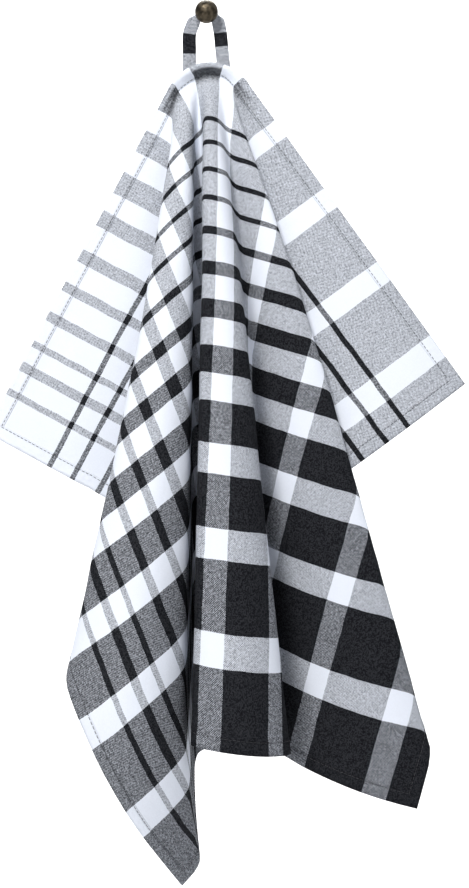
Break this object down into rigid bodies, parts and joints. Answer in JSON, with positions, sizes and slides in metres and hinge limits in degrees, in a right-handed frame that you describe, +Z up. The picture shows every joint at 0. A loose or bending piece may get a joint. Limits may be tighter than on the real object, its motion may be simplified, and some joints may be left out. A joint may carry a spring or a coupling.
{
  "type": "tea towel and peg",
  "caption": "Black-and-white check cotton tea towel with graded stripes, hanging in folds by its sewn loop from a small dark metal wall peg.",
  "frame": {"origin": "middle of the peg's flat wall face, on the peg's centre line", "axes": "+Z up, +X to the right as seen from the front, +Y towards the wall; the towel hangs in front of the wall towards -Y"},
  "size_m": [0.3633, 0.1214, 0.657],
  "materials": {
    "cotton_check": "plain-woven cotton, matt",
    "cotton_tape": "folded woven cotton, matt",
    "peg_metal": "dark bronze, satin"
  },
  "bodies": {
    "root": {"towel": "cotton_check", "hanging_loop": "cotton_tape", "peg": "peg_metal"}
  },
  "joints": []
}
